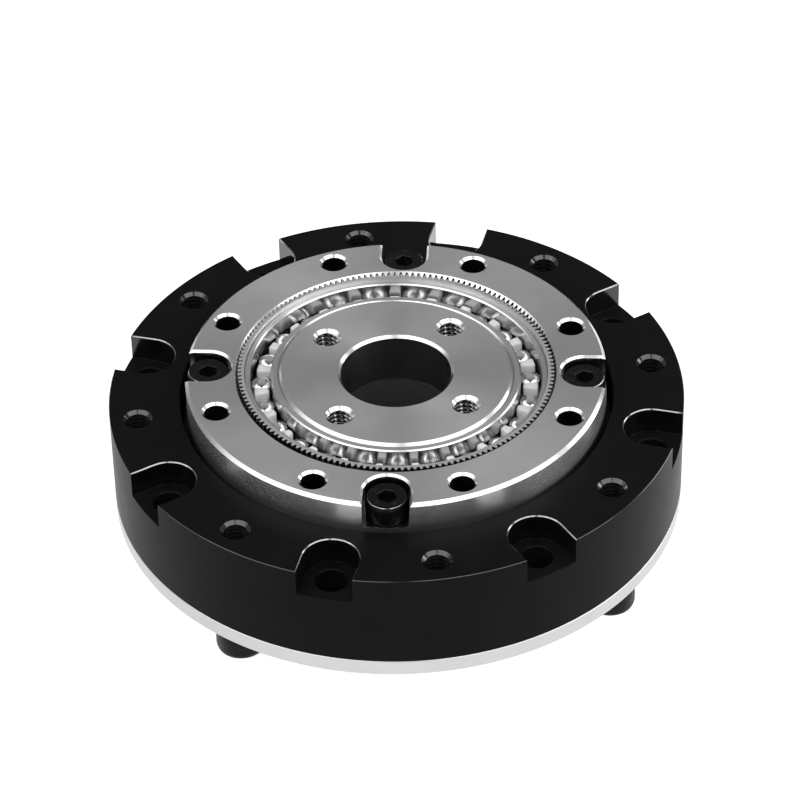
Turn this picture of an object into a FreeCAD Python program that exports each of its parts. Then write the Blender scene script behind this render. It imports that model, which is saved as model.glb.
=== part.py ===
import FreeCAD, Part
import math
import os

import Sketcher
from FreeCAD import Placement, Rotation, Vector

# A flat strain wave gearbox. Lengths are millimetres, angles are degrees.
# Z is the common axis, and z = 0 is the plane the four flange screw heads stand on.
DIMENSIONS = {
    # gear teeth
    "tooth_module": 0.176,
    "flex_teeth": 160,
    "teeth_gained_per_lobe": 1,
    "addendum_in_modules": 0.8,
    "dedendum_in_modules": 1.1,
    "thickness_in_modules": 1.39,
    "tip_land_in_modules": 0.8,
    "wave_turn": 132.9,
    # flexspline, a thin tube with a toothed rim above and a flange below
    "rim_wall": 0.226,
    "rim_length": 5.0,
    "rim_drop": 0.05,
    "oval_lead": 0.3,
    "tube_wall": 0.2,
    "diaphragm_thickness": 0.35,
    "diaphragm_lift": 0.5,
    "root_taper": 0.5,
    "flange_thickness": 1.5,
    "flange_lip": 0.7,
    # flexible ball bearing and the oval plug inside it
    "race_fit": 0.01,
    "race_width": 4.8,
    "race_drop": 0.4,
    "race_chamfer": 0.12,
    "outer_race_wall": 0.55,
    "outer_track_wall": 0.28,
    "inner_track_wall": 0.42,
    "inner_track_depth": 0.27,
    "track_floor": 0.7,
    "track_mouth": 1.6,
    "track_clearance": 0.012,
    "ball_radius": 1.19,
    "balls": 23,
    "ball_turn": -82.4,
    "cage_clearance": 0.07,
    "cage_pocket_play": 0.04,
    "cage_drop": 1.35,
    "cage_base": 0.8,
    "plug_drop": 0.25,
    "plug_height": 5.1,
    "plug_chamfer": 0.3,
    "plug_bore_radius": 5.0,
    "plug_tap_circle": 8.0,
    "plug_tap_radius": 1.025,
    "plug_taps": 4,
    # circular spline
    "spline_web": 2.5504,
    "spline_edge": 2.0,
    "spline_height": 5.45,
    "spline_stand": 2.6,
    "spline_chamfer": 0.33,
    "tooth_chamfer": 0.42,
    "spline_turn": -11.2,
    "spline_hole_radius": 1.1,
    "holes_per_notch": 2,
    "spline_notches": 4,
    "spline_notch_radius": 2.1,
    "spline_notch_depth": 2.6,
    "spline_screw_hole_radius": 1.3,
    # crossed roller bearing
    "spline_gap": 0.6,
    "bearing_gap": 0.2,
    "roller_radius": 0.75,
    "roller_end_play": 0.03,
    "roller_clearance": 0.02,
    "roller_pairs": 24,
    "spacer_play": 0.06,
    "inner_ring_web": 2.0,
    "inner_ring_lift": 0.6,
    "ring_height": 9.25,
    "ring_web": 3.9,
    "ring_edge": 2.5,
    "ring_bolts": 8,
    "ring_tap_radius": 1.025,
    "ring_hole_radius": 1.4,
    "ring_notch_radius": 2.5,
    "ring_notch_depth": 2.5,
    "ring_chamfer": 0.15,
    "loading_plug_radius": 1.1,
    "loading_plug_fit": 0.01,
    "pin_radius": 0.5,
    "pin_inset": 3.5,
    # cap screws, threads drawn at their core
    "thread_fit": 0.02,
    "flange_screw_hole_radius": 1.6,
    "flange_screw_head_radius": 2.25,
    "flange_screw_head_height": 2.5,
    "flange_screw_length": 6.0,
    "flange_screw_hex": 2.0,
    "flange_screw_socket": 1.3,
    "spline_screw_head_radius": 1.9,
    "spline_screw_head_height": 2.0,
    "spline_screw_length": 6.0,
    "spline_screw_core": 0.8,
    "spline_screw_hex": 1.5,
    "spline_screw_socket": 1.0,
    "tap_runout": 0.8,
}

# Fewer flats stand in for the curves of the many small rolling elements.
BALL_SIDES = 8
BALL_LATITUDES = (-67.5, -22.5, 22.5, 67.5)
ROLLER_SIDES = 10
CUT_MARGIN = 1.0
FULL_TURN = 360.0
HALF_TURN = 180.0
CROSS_ANGLE = 45.0

# Heights above the floor, from the flange screws up.
FLANGE_BASE = "Dims.flange_screw_head_height"
RING_BASE = f"({FLANGE_BASE} + Dims.flange_thickness)"
RING_TOP = f"({RING_BASE} + Dims.ring_height)"
SPLINE_TOP = f"({RING_TOP} + Dims.spline_stand)"
SPLINE_BASE = f"({SPLINE_TOP} - Dims.spline_height)"
SPLINE_SEAT = f"({SPLINE_TOP} - Dims.spline_notch_depth)"
RING_SEAT = f"({RING_TOP} - Dims.ring_notch_depth)"
INNER_RING_BASE = f"({RING_BASE} + Dims.inner_ring_lift)"
ROLLER_PLANE = f"(({INNER_RING_BASE} + {SPLINE_BASE}) / 2)"
RIM_TOP = f"({SPLINE_TOP} - Dims.rim_drop)"
RIM_BASE = f"({RIM_TOP} - Dims.rim_length)"
DIAPHRAGM_BASE = f"({FLANGE_BASE} + Dims.diaphragm_lift)"
DIAPHRAGM_TOP = f"({DIAPHRAGM_BASE} + Dims.diaphragm_thickness)"
RACE_TOP = f"({SPLINE_TOP} - Dims.race_drop)"
RACE_BASE = f"({RACE_TOP} - Dims.race_width)"
OVAL_BASE = f"({RACE_BASE} - Dims.oval_lead)"
BALL_PLANE = f"({RACE_TOP} - Dims.race_width / 2)"
CAGE_TOP = f"({SPLINE_TOP} - Dims.cage_drop)"
POCKET_FLOOR = f"({BALL_PLANE} - Dims.ball_radius - Dims.cage_pocket_play)"
PLUG_TOP = f"({SPLINE_TOP} - Dims.plug_drop)"
PLUG_BASE = f"({PLUG_TOP} - Dims.plug_height)"

# The wave has two lobes, and its height lets the teeth slip by the teeth gained.
LOBES = 2
GAIN = f"({LOBES} * Dims.teeth_gained_per_lobe)"
WAVE = f"(Dims.tooth_module * {GAIN} / {LOBES})"
WAVE_TURN = "Dims.wave_turn"
ROUND = "0"
ADDENDUM = "(Dims.addendum_in_modules * Dims.tooth_module)"
DEDENDUM = "(Dims.dedendum_in_modules * Dims.tooth_module)"

# Radii from the teeth inwards to the oval plug. Each is the mean of an oval.
FLEX_PITCH = "(Dims.tooth_module * Dims.flex_teeth / 2)"
FLEX_TIP = f"({FLEX_PITCH} + {ADDENDUM})"
FLEX_ROOT = f"({FLEX_PITCH} - {DEDENDUM})"
FLEX_BORE = f"({FLEX_ROOT} - Dims.rim_wall)"
TUBE_RADIUS = f"({FLEX_BORE} + Dims.tube_wall)"
RACE_RADIUS = f"({FLEX_BORE} - Dims.race_fit)"
OUTER_LAND = f"({RACE_RADIUS} - Dims.outer_race_wall)"
OUTER_TRACK = f"({RACE_RADIUS} - Dims.outer_track_wall)"
BALL_CIRCLE = f"({OUTER_TRACK} - Dims.track_clearance - Dims.ball_radius)"
INNER_TRACK = f"({BALL_CIRCLE} - Dims.ball_radius - Dims.track_clearance)"
INNER_LAND = f"({INNER_TRACK} + Dims.inner_track_depth)"
PLUG_RADIUS = f"({INNER_TRACK} - Dims.inner_track_wall)"

# Radii from the teeth outwards to the rim of the housing.
SPLINE_PITCH = f"(Dims.tooth_module * (Dims.flex_teeth + {GAIN}) / 2)"
SPLINE_ROOT = f"({SPLINE_PITCH} + {DEDENDUM})"
SPLINE_TIP = f"({SPLINE_PITCH} - {ADDENDUM})"
SPLINE_CIRCLE = f"({SPLINE_ROOT} + Dims.spline_web)"
SPLINE_RADIUS = f"({SPLINE_CIRCLE} + Dims.spline_edge)"
RING_BORE = f"({SPLINE_RADIUS} + Dims.spline_gap)"
INNER_RING_RADIUS = f"({RING_BORE} - Dims.bearing_gap)"
INNER_RING_BORE = f"({SPLINE_CIRCLE} - Dims.inner_ring_web)"
ROLLER_CIRCLE = f"({RING_BORE} - Dims.bearing_gap / 2)"
RING_CIRCLE = f"({RING_BORE} + Dims.ring_web)"
RING_RADIUS = f"({RING_CIRCLE} + Dims.ring_edge)"
FLANGE_INNER = f"({RING_BORE} + Dims.flange_lip)"
PIN_CIRCLE = f"({RING_RADIUS} - Dims.pin_inset)"

# Tapped holes and notches of the housing take turns. A screw holds the flange at every second tap.
TAP_STEP = f"({FULL_TURN} / Dims.ring_bolts)"
NOTCH_TURN = f"({TAP_STEP} / 2)"
FLANGE_SCREWS = "floor(Dims.ring_bolts / 2)"
SCREW_SWEEP = f"(({FLANGE_SCREWS} - 1) * 2 * {TAP_STEP})"
LOADING_PLUG_TURN = f"({TAP_STEP} * 7 / 4)"
SPLINE_HOLES = "(Dims.spline_notches * Dims.holes_per_notch)"
HOLE_TURN = f"(Dims.spline_turn + {HALF_TURN} / {SPLINE_HOLES})"

doc = FreeCAD.newDocument("strain_wave_gearbox")
sheet = doc.addObject("Spreadsheet::Sheet", "Dims")
nodes = []


def fill_sheet():
    """Write each driving dimension into the sheet under its own alias."""
    for row, (alias, value) in enumerate(DIMENSIONS.items(), start=1):
        sheet.set(f"A{row}", alias)
        sheet.set(f"B{row}", str(value))
        sheet.setAlias(f"B{row}", alias)
    doc.recompute()


def size(expression):
    """The present value of an expression of sheet cells."""
    return float(sheet.evalExpression(str(expression)))


def bind(item, **expressions):
    """Bind properties to expressions. A double underscore stands for a dot."""
    for path, expression in expressions.items():
        item.setExpression(path.replace("__", "."), str(expression))
    return item


def part(kind, name, **expressions):
    """A Part object with bound sizes."""
    return bind(doc.addObject("Part::" + kind, name), **expressions)


def combine(kind, name, base, tool):
    """A boolean of two objects: Cut or Common."""
    result = doc.addObject("Part::" + kind, name)
    result.Base = base
    result.Tool = tool
    return result


def fuse(name, shapes):
    """One solid from several that overlap."""
    result = doc.addObject("Part::MultiFuse", name)
    result.Shapes = shapes
    return result


def fixed_shape(name, shape):
    """An object that holds a worked-out shape."""
    item = doc.addObject("Part::Feature", name)
    item.Shape = shape
    return item


def cut_all(name, base, tools):
    """Cut several tools from a base, one after the other."""
    for index, tool in enumerate(tools, start=1):
        base = combine("Cut", f"{name}_cut_{index}", base, tool)
    return base


def node(item, label):
    """Keep an object as a named piece of the gearbox."""
    item.Label = label
    nodes.append(item)


def origin_of(body, role):
    """The plane or axis of a body's origin that has this role."""
    return next(feature for feature in body.Origin.OriginFeatures if feature.Role == role)


def hold(sketch, kind, line, expression):
    """Hold the start of a line at a distance from the sketch's origin."""
    value = size(expression)
    index = sketch.addConstraint(Sketcher.Constraint(kind, -1, 1, line, 1, value))
    sketch.setExpression(f"Constraints[{index}]", expression)


def outline(sketch, corners):
    """A closed outline of straight lines, each corner held at two expressions."""
    points = [Vector(size(across), size(up), 0) for across, up in corners]
    following = points[1:] + points[:1]
    for start, end in zip(points, following):
        sketch.addGeometry(Part.LineSegment(start, end), False)
    count = len(points)
    for line in range(count):
        sketch.addConstraint(Sketcher.Constraint("Coincident", line, 2, (line + 1) % count, 1))
    for line, (across, up) in enumerate(corners):
        hold(sketch, "DistanceX", line, across)
        hold(sketch, "DistanceY", line, up)


def turned_body(name, corners):
    """A body turned about Z from an outline of (radius, height) corners."""
    body = doc.addObject("PartDesign::Body", name)
    sketch = body.newObject("Sketcher::SketchObject", name + "_profile")
    sketch.AttachmentSupport = (origin_of(body, "XZ_Plane"), [""])
    sketch.MapMode = "FlatFace"
    outline(sketch, corners)
    turned = body.newObject("PartDesign::Revolution", name + "_turned")
    turned.Profile = sketch
    turned.ReferenceAxis = (sketch, ["V_Axis"])
    turned.Angle = FULL_TURN
    doc.recompute()
    return body


def place_at(item, circle, turn, height):
    """Bind an object's place to a circle about Z, and face it outwards."""
    return bind(
        item,
        Placement__Base__x=f"{circle} * cos({turn} * 1 deg)",
        Placement__Base__y=f"{circle} * sin({turn} * 1 deg)",
        Placement__Base__z=height,
        Placement__Rotation__Angle=f"{turn} * 1 deg",
    )


def repeat(body, name, features, count, sweep):
    """Repeat cuts around Z over an angle, and check that the copies take material away."""
    before = body.Shape.Volume
    pattern = body.newObject("PartDesign::PolarPattern", name + "_pattern")
    pattern.Originals = features
    pattern.Axis = (origin_of(body, "Z_Axis"), [""])
    bind(pattern, Occurrences=count, Angle=f"{sweep} * 1 deg")
    body.Tip = pattern
    doc.recompute()
    if body.Shape.Volume >= before:
        raise ValueError(f"{name} cuts nothing")


def drill(body, name, radius, circle, turn, base, top, count, sweep=FULL_TURN):
    """A circle of round holes between two heights."""
    hole = body.newObject("PartDesign::SubtractiveCylinder", name)
    place_at(bind(hole, Radius=radius, Height=f"{top} - {base}"), circle, turn, base)
    doc.recompute()
    repeat(body, name, [hole], count, sweep)


def notch(body, name, radius, circle, edge, turn, base, top, count):
    """A circle of U notches: open at the outer edge and round at the bolt circle."""
    height = f"{top} - {base} + {CUT_MARGIN}"
    mouth = body.newObject("PartDesign::SubtractiveBox", name + "_mouth")
    bind(
        mouth,
        Length=f"{edge} - {circle} + {CUT_MARGIN}",
        Width=f"2 * {radius}",
        Height=height,
        Placement__Base__x=f"{circle} * cos({turn} * 1 deg) + {radius} * sin({turn} * 1 deg)",
        Placement__Base__y=f"{circle} * sin({turn} * 1 deg) - {radius} * cos({turn} * 1 deg)",
        Placement__Base__z=base,
        Placement__Rotation__Angle=f"{turn} * 1 deg",
    )
    doc.recompute()
    seat = body.newObject("PartDesign::SubtractiveCylinder", name)
    place_at(bind(seat, Radius=radius, Height=height), circle, turn, base)
    doc.recompute()
    repeat(body, name, [mouth, seat], count, FULL_TURN)


def rectangle(inner, outer, base, top):
    """Corners of a ring's section."""
    return [(inner, base), (outer, base), (outer, top), (inner, top)]


def chamfered(inner, outer, base, top, chamfer):
    """Corners of a ring's section with the top outer edge broken."""
    edge = [(outer, f"{top} - {chamfer}"), (f"{outer} - {chamfer}", top)]
    return [(inner, base), (outer, base), *edge, (inner, top)]


def oval_tower(name, levels):
    """A solid through ovals at (height, mean radius, wave height), with straight walls."""
    sections = []
    for index, (height, radius, wave) in enumerate(levels, start=1):
        oval = part(
            "Ellipse",
            f"{name}_oval_{index}",
            MajorRadius=f"{radius} + {wave}",
            MinorRadius=f"{radius} - {wave}",
            Placement__Base__z=height,
            Placement__Rotation__Angle=f"{WAVE_TURN} * 1 deg",
        )
        sections.append(oval)
    tower = doc.addObject("Part::Loft", name)
    tower.Sections = sections
    tower.Solid = True
    tower.Ruled = True
    return tower


def around(shape, count, turn, step):
    """Copies of a shape about Z, from a first angle and by equal steps."""
    copies = []
    for index in range(count):
        copy = shape.copy()
        copy.rotate(Vector(), Vector(0, 0, 1), turn + step * index)
        copies.append(copy)
    return Part.Compound(copies)


def tooth_outline(teeth, tip, root, pitch, wave):
    """A closed wire of trapezoid teeth. The wave bends it to an oval of the same length."""
    thickness = size("Dims.thickness_in_modules * Dims.tooth_module")
    tip_land = size("Dims.tip_land_in_modules * Dims.tooth_module")
    slope = (thickness - tip_land) / (2 * abs(tip - pitch))
    root_land = thickness + 2 * slope * abs(pitch - root)
    middle = math.radians(size(WAVE_TURN))
    points = []
    for index in range(teeth):
        centre = 2 * math.pi * index / teeth
        flanks = ((-root_land, root), (-tip_land, tip), (tip_land, tip), (root_land, root))
        for width, radius in flanks:
            angle = centre + width / (2 * radius)
            bent = radius + wave * math.cos(LOBES * angle)
            shifted = middle + angle - wave * math.sin(LOBES * angle) / (LOBES * pitch)
            points.append(Vector(bent * math.cos(shifted), bent * math.sin(shifted), 0))
    return Part.makePolygon(points + points[:1])


def prism(wire, base, top):
    """A solid that stands on a closed flat wire, between two heights."""
    solid = Part.Face(wire).extrude(Vector(0, 0, top - base))
    solid.translate(Vector(0, 0, base))
    return solid


def roller_track():
    """The square groove, set on its corner, in which the crossed rollers run."""
    reach = "(sqrt(2) * (Dims.roller_radius + Dims.roller_clearance))"
    return turned_body(
        "roller_track",
        [
            (f"{ROLLER_CIRCLE} - {reach}", ROLLER_PLANE),
            (ROLLER_CIRCLE, f"{ROLLER_PLANE} - {reach}"),
            (f"{ROLLER_CIRCLE} + {reach}", ROLLER_PLANE),
            (ROLLER_CIRCLE, f"{ROLLER_PLANE} + {reach}"),
        ],
    )


def loading_plug_rod(name, play):
    """A radial rod at the roller plane, through the wall of the housing ring."""
    rod = part("Cylinder", name, Radius=f"Dims.loading_plug_radius + {play}", Height=RING_RADIUS)
    turn = size(LOADING_PLUG_TURN)
    outwards = Rotation(Vector(0, 0, 1), turn) * Rotation(Vector(0, 1, 0), HALF_TURN / 2)
    rod.Placement = Placement(Vector(), outwards)
    return bind(rod, Placement__Base__z=ROLLER_PLANE)


def pin_rod(name, play):
    """An upright rod through the loading plug, from the foot of the housing ring."""
    height = f"{ROLLER_PLANE} - {RING_BASE}"
    rod = part("Cylinder", name, Radius=f"Dims.pin_radius + {play}", Height=height)
    return place_at(rod, PIN_CIRCLE, LOADING_PLUG_TURN, RING_BASE)


def outer_ring(track):
    """The housing ring with its tapped holes, bolt notches and half of the roller groove."""
    section = chamfered(RING_BORE, RING_RADIUS, RING_BASE, RING_TOP, "Dims.ring_chamfer")
    body = turned_body("ring_blank", section)
    count = "Dims.ring_bolts"
    span = (RING_BASE, RING_TOP)
    drill(body, "ring_tap", "Dims.ring_tap_radius", RING_CIRCLE, "0", *span, count)
    drill(body, "ring_hole", "Dims.ring_hole_radius", RING_CIRCLE, NOTCH_TURN, *span, count)
    radius = "Dims.ring_notch_radius"
    notch(body, "ring_notch", radius, RING_CIRCLE, RING_RADIUS, NOTCH_TURN, RING_SEAT, RING_TOP, count)
    fit = "Dims.loading_plug_fit"
    tools = [track, loading_plug_rod("plug_bore", fit), pin_rod("pin_bore", fit)]
    node(cut_all("ring", body, tools), "outer_ring")


def loading_plug(track):
    """The plug that closes the hole through which the rollers go in, and its pin."""
    wall = turned_body("plug_wall", rectangle(RING_BORE, RING_RADIUS, RING_BASE, RING_TOP))
    blank = combine("Common", "plug_blank", wall, loading_plug_rod("plug_rod", "0"))
    tools = [track, pin_rod("plug_pin_bore", "Dims.loading_plug_fit")]
    node(cut_all("loading_plug", blank, tools), "loading_plug")
    node(pin_rod("plug_pin_rod", "0"), "plug_pin")


def inner_ring(track):
    """The turning ring under the circular spline, with the other half of the groove."""
    body = turned_body(
        "inner_ring_blank",
        rectangle(INNER_RING_BORE, INNER_RING_RADIUS, INNER_RING_BASE, SPLINE_BASE),
    )
    core = "Dims.spline_screw_core"
    span = (f"({SPLINE_SEAT} - Dims.spline_screw_length - Dims.tap_runout)", SPLINE_BASE)
    drill(body, "screw_tap", core, SPLINE_CIRCLE, "Dims.spline_turn", *span, "Dims.spline_notches")
    drill(body, "output_tap", core, SPLINE_CIRCLE, HOLE_TURN, *span, SPLINE_HOLES)
    node(combine("Cut", "inner_ring_grooved", body, track), "inner_ring")


def crossed_roller(name, tilt):
    """One roller at angle zero, its axis tilted in the plane through Z."""
    length = "(2 * Dims.roller_radius - 2 * Dims.roller_end_play)"
    roller = part("Prism", name, Circumradius="Dims.roller_radius", Height=length)
    roller.Polygon = ROLLER_SIDES
    roller.Placement = Placement(Vector(), Rotation(Vector(0, 1, 0), tilt))
    sideways = f"{length} / 2 * sin({tilt} * 1 deg)"
    bind(
        roller,
        Placement__Base__x=f"{ROLLER_CIRCLE} - {sideways}",
        Placement__Base__z=f"{ROLLER_PLANE} - {length} / 2 * cos({tilt} * 1 deg)",
    )
    doc.recompute()
    return roller


def roller_set():
    """Rollers that lean in and out by turns, with a spacer between each two."""
    pairs = int(size("Dims.roller_pairs"))
    step = HALF_TURN / pairs
    leans_in = crossed_roller("roller_in", -CROSS_ANGLE)
    leans_out = crossed_roller("roller_out", CROSS_ANGLE)
    group = around(leans_in.Shape, pairs, 0, 2 * step)
    node(fixed_shape("rollers_in_group", group), "rollers_leaning_in")
    group = around(leans_out.Shape, pairs, step, 2 * step)
    node(fixed_shape("rollers_out_group", group), "rollers_leaning_out")
    side = "(2 * Dims.roller_radius - 2 * Dims.roller_end_play)"
    pitch = f"(2 * {ROLLER_CIRCLE} * sin({step / 2} * 1 deg))"
    thickness = f"({pitch} - 2 * Dims.roller_radius - 2 * Dims.spacer_play)"
    spacer = part("Box", "spacer", Length=side, Width=thickness, Height=side)
    spacer.Placement = Placement(Vector(), Rotation(Vector(0, 1, 0), CROSS_ANGLE))
    bind(
        spacer,
        Placement__Base__x=f"{ROLLER_CIRCLE} - {side} * sin({CROSS_ANGLE} * 1 deg)",
        Placement__Base__y=f"-{thickness} / 2",
        Placement__Base__z=ROLLER_PLANE,
    )
    doc.recompute()
    group = around(spacer.Shape, 2 * pairs, step / 2, step)
    node(fixed_shape("spacer_group", group), "roller_spacers")


def circular_spline():
    """The toothed output ring, with bolt holes and notches for the screws that hold it."""
    bore = f"({SPLINE_TIP} - {CUT_MARGIN})"
    section = chamfered(bore, SPLINE_RADIUS, SPLINE_BASE, SPLINE_TOP, "Dims.spline_chamfer")
    # the top edge of the bore is broken too, across the ends of the teeth
    section[-1] = (f"{SPLINE_TIP} + Dims.tooth_chamfer", SPLINE_TOP)
    section.append((bore, f"{SPLINE_TOP} - Dims.tooth_chamfer - {CUT_MARGIN}"))
    body = turned_body("spline_blank", section)
    turn = "Dims.spline_turn"
    span = (SPLINE_BASE, SPLINE_TOP)
    count = "Dims.spline_notches"
    radius = "Dims.spline_hole_radius"
    drill(body, "spline_hole", radius, SPLINE_CIRCLE, HOLE_TURN, *span, SPLINE_HOLES)
    radius = "Dims.spline_screw_hole_radius"
    drill(body, "screw_hole", radius, SPLINE_CIRCLE, turn, *span, count)
    radius = "Dims.spline_notch_radius"
    notch(body, "spline_notch", radius, SPLINE_CIRCLE, SPLINE_RADIUS, turn, SPLINE_SEAT, SPLINE_TOP, count)
    teeth = int(size(f"Dims.flex_teeth + {GAIN}"))
    # the ring's own teeth point inwards, so half a pitch turns a space to the wave's crest
    wire = tooth_outline(teeth, size(SPLINE_TIP), size(SPLINE_ROOT), size(SPLINE_PITCH), 0.0)
    wire.rotate(Vector(), Vector(0, 0, 1), HALF_TURN / teeth)
    spaces = prism(wire, size(SPLINE_BASE) - CUT_MARGIN, size(SPLINE_TOP) + CUT_MARGIN)
    cutter = fixed_shape("spline_tooth_cutter", spaces)
    node(combine("Cut", "spline_toothed", body, cutter), "circular_spline")


def flexspline():
    """The thin hat: a flange, a diaphragm, a tube and an oval rim with teeth."""
    within = f"({FLEX_BORE} - {CUT_MARGIN})"
    taper_top = f"({DIAPHRAGM_TOP} + Dims.root_taper)"
    brim = turned_body(
        "hat_brim",
        [
            (within, DIAPHRAGM_BASE),
            (FLANGE_INNER, DIAPHRAGM_BASE),
            (FLANGE_INNER, FLANGE_BASE),
            (RING_RADIUS, FLANGE_BASE),
            (RING_RADIUS, RING_BASE),
            (FLANGE_INNER, RING_BASE),
            (FLANGE_INNER, DIAPHRAGM_TOP),
            (f"{FLEX_BORE} + Dims.tube_wall / 2 + Dims.root_taper", DIAPHRAGM_TOP),
            (f"{FLEX_BORE} + Dims.tube_wall / 2", taper_top),
            (within, taper_top),
        ],
    )
    span = (FLANGE_BASE, RING_BASE)
    radius = "Dims.ring_hole_radius"
    drill(brim, "flange_hole", radius, RING_CIRCLE, NOTCH_TURN, *span, "Dims.ring_bolts")
    radius = "Dims.flange_screw_hole_radius"
    drill(brim, "stud_hole", radius, RING_CIRCLE, TAP_STEP, *span, FLANGE_SCREWS, SCREW_SWEEP)
    inside_rim = f"(({RIM_BASE} + {RIM_TOP}) / 2)"
    tube = oval_tower(
        "hat_tube",
        [
            (DIAPHRAGM_TOP, TUBE_RADIUS, ROUND),
            (OVAL_BASE, TUBE_RADIUS, WAVE),
            (inside_rim, TUBE_RADIUS, WAVE),
        ],
    )
    pitch = size(FLEX_PITCH)
    teeth = int(size("Dims.flex_teeth"))
    wire = tooth_outline(teeth, size(FLEX_TIP), size(FLEX_ROOT), pitch, size(WAVE))
    rim = fixed_shape("hat_rim", prism(wire, size(RIM_BASE), size(RIM_TOP)))
    bore = oval_tower(
        "hat_bore",
        [
            (f"{FLANGE_BASE} - {CUT_MARGIN}", FLEX_BORE, ROUND),
            (DIAPHRAGM_BASE, FLEX_BORE, ROUND),
            (OVAL_BASE, FLEX_BORE, WAVE),
            (f"{RIM_TOP} + {CUT_MARGIN}", FLEX_BORE, WAVE),
        ],
    )
    node(combine("Cut", "hat_hollow", fuse("hat", [brim, tube, rim]), bore), "flexspline")


def track_levels(land, track):
    """Levels of a race wall: a land, a groove with a flat floor, and a land."""
    mouth = "Dims.track_mouth / 2"
    floor = "Dims.track_floor / 2"
    return [
        (RACE_BASE, land, WAVE),
        (f"{BALL_PLANE} - {mouth}", land, WAVE),
        (f"{BALL_PLANE} - {floor}", track, WAVE),
        (f"{BALL_PLANE} + {floor}", track, WAVE),
        (f"{BALL_PLANE} + {mouth}", land, WAVE),
        (RACE_TOP, land, WAVE),
    ]


def bearing_races():
    """The two thin races, bent to the oval of the plug."""
    inner = oval_tower("inner_race_blank", track_levels(INNER_LAND, INNER_TRACK))
    inner_bore = oval_tower(
        "inner_race_bore",
        [
            (f"{RACE_BASE} - {CUT_MARGIN}", PLUG_RADIUS, WAVE),
            (f"{RACE_TOP} + {CUT_MARGIN}", PLUG_RADIUS, WAVE),
        ],
    )
    node(combine("Cut", "inner_race_ring", inner, inner_bore), "bearing_inner_race")
    chamfer = "Dims.race_chamfer"
    outer = oval_tower(
        "outer_race_blank",
        [
            (RACE_BASE, f"{RACE_RADIUS} - {chamfer}", WAVE),
            (f"{RACE_BASE} + {chamfer}", RACE_RADIUS, WAVE),
            (f"{RACE_TOP} - {chamfer}", RACE_RADIUS, WAVE),
            (RACE_TOP, f"{RACE_RADIUS} - {chamfer}", WAVE),
        ],
    )
    levels = track_levels(OUTER_LAND, OUTER_TRACK)
    levels[0] = (f"{RACE_BASE} - {CUT_MARGIN}", OUTER_LAND, WAVE)
    levels[-1] = (f"{RACE_TOP} + {CUT_MARGIN}", OUTER_LAND, WAVE)
    outer_bore = oval_tower("outer_race_bore", levels)
    node(combine("Cut", "outer_race_ring", outer, outer_bore), "bearing_outer_race")


def ball_cage():
    """The moulded comb that keeps the balls apart, with a pocket open at the top for each."""
    inner = f"({INNER_LAND} + {WAVE} + Dims.cage_clearance)"
    outer = f"({OUTER_LAND} - {WAVE} - Dims.cage_clearance)"
    base = f"{POCKET_FLOOR} - Dims.cage_base"
    body = turned_body("cage_comb", rectangle(inner, outer, base, CAGE_TOP))
    pocket = body.newObject("PartDesign::SubtractiveBox", "cage_pocket")
    half_width = "(Dims.ball_radius + Dims.cage_pocket_play)"
    bind(
        pocket,
        Length=f"{outer} + {CUT_MARGIN}",
        Width=f"2 * {half_width}",
        Height=f"{CAGE_TOP} - {POCKET_FLOOR} + {CUT_MARGIN}",
        Placement__Base__x=f"{half_width} * sin(Dims.ball_turn * 1 deg)",
        Placement__Base__y=f"-{half_width} * cos(Dims.ball_turn * 1 deg)",
        Placement__Base__z=POCKET_FLOOR,
        Placement__Rotation__Angle="Dims.ball_turn * 1 deg",
    )
    doc.recompute()
    repeat(body, "cage_pocket", [pocket], "Dims.balls", FULL_TURN)
    node(body, "ball_cage")


def faceted_ball(radius):
    """A ball with flat facets, all its corners on the true sphere."""
    rings = []
    for latitude in BALL_LATITUDES:
        tilt = math.radians(latitude)
        corner = Vector(radius * math.cos(tilt), 0, radius * math.sin(tilt))
        turns = [FULL_TURN * index / BALL_SIDES for index in range(BALL_SIDES)]
        rings.append([Rotation(Vector(0, 0, 1), turn).multVec(corner) for turn in turns])
    outlines = [rings[0], rings[-1]]
    for lower, upper in zip(rings, rings[1:]):
        for index in range(BALL_SIDES):
            outlines.append([lower[index - 1], lower[index], upper[index], upper[index - 1]])
    faces = [Part.Face(Part.makePolygon(corners + corners[:1])) for corners in outlines]
    return Part.Solid(Part.Shell(faces))


def bearing_balls():
    """The balls, each on the oval path between the two races."""
    pattern = faceted_ball(size("Dims.ball_radius"))
    count = int(size("Dims.balls"))
    for index in range(count):
        turn = size("Dims.ball_turn") + FULL_TURN * index / count
        from_crest = math.radians(turn - size(WAVE_TURN))
        radius = size(BALL_CIRCLE) + size(WAVE) * math.cos(LOBES * from_crest)
        ball = fixed_shape(f"ball_copy_{index + 1}", pattern.copy())
        spin = Rotation(Vector(0, 0, 1), turn)
        ball.Placement = Placement(spin.multVec(Vector(radius, 0, size(BALL_PLANE))), spin)
        node(ball, f"ball_{index + 1:02d}")


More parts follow.
